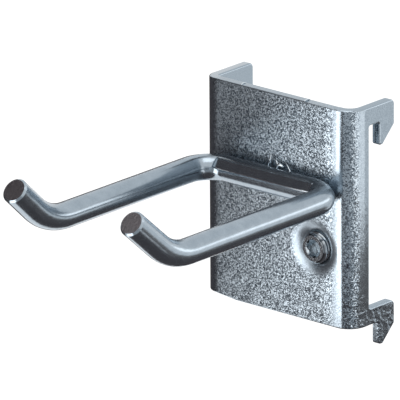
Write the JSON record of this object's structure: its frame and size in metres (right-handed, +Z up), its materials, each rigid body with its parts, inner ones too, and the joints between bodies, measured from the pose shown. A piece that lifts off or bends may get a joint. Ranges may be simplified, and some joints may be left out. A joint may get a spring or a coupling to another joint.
{
  "type": "pegboard double hook",
  "caption": "Double wire hook with turned-up tips, welded to a folded steel plate whose hooked tabs hang in a perforated panel.",
  "frame": {"origin": "middle of the plate's width, on the front face of the panel it hangs on, at the height of the lower seats", "axes": "+Z up, +Y back through the panel, +X to the right seen from the front"},
  "size_m": [0.0354, 0.0705, 0.0459],
  "materials": {
    "plated_sheet": "bright zinc plate over a finely pitted sheet",
    "plated_wire": "bright zinc plate over drawn wire",
    "plated_screw": "bright zinc plate"
  },
  "bodies": {
    "hook": {"mounting_plate": "plated_sheet", "wire_hook": "plated_wire"},
    "screw": {"clamping_screw": "plated_screw"}
  },
  "joints": [
    {"name": "screw_travel", "type": "slide", "parent": "hook", "child": "screw", "axis": [0, 1, 0], "range_m": [-0.0015, 0.0015]}
  ]
}
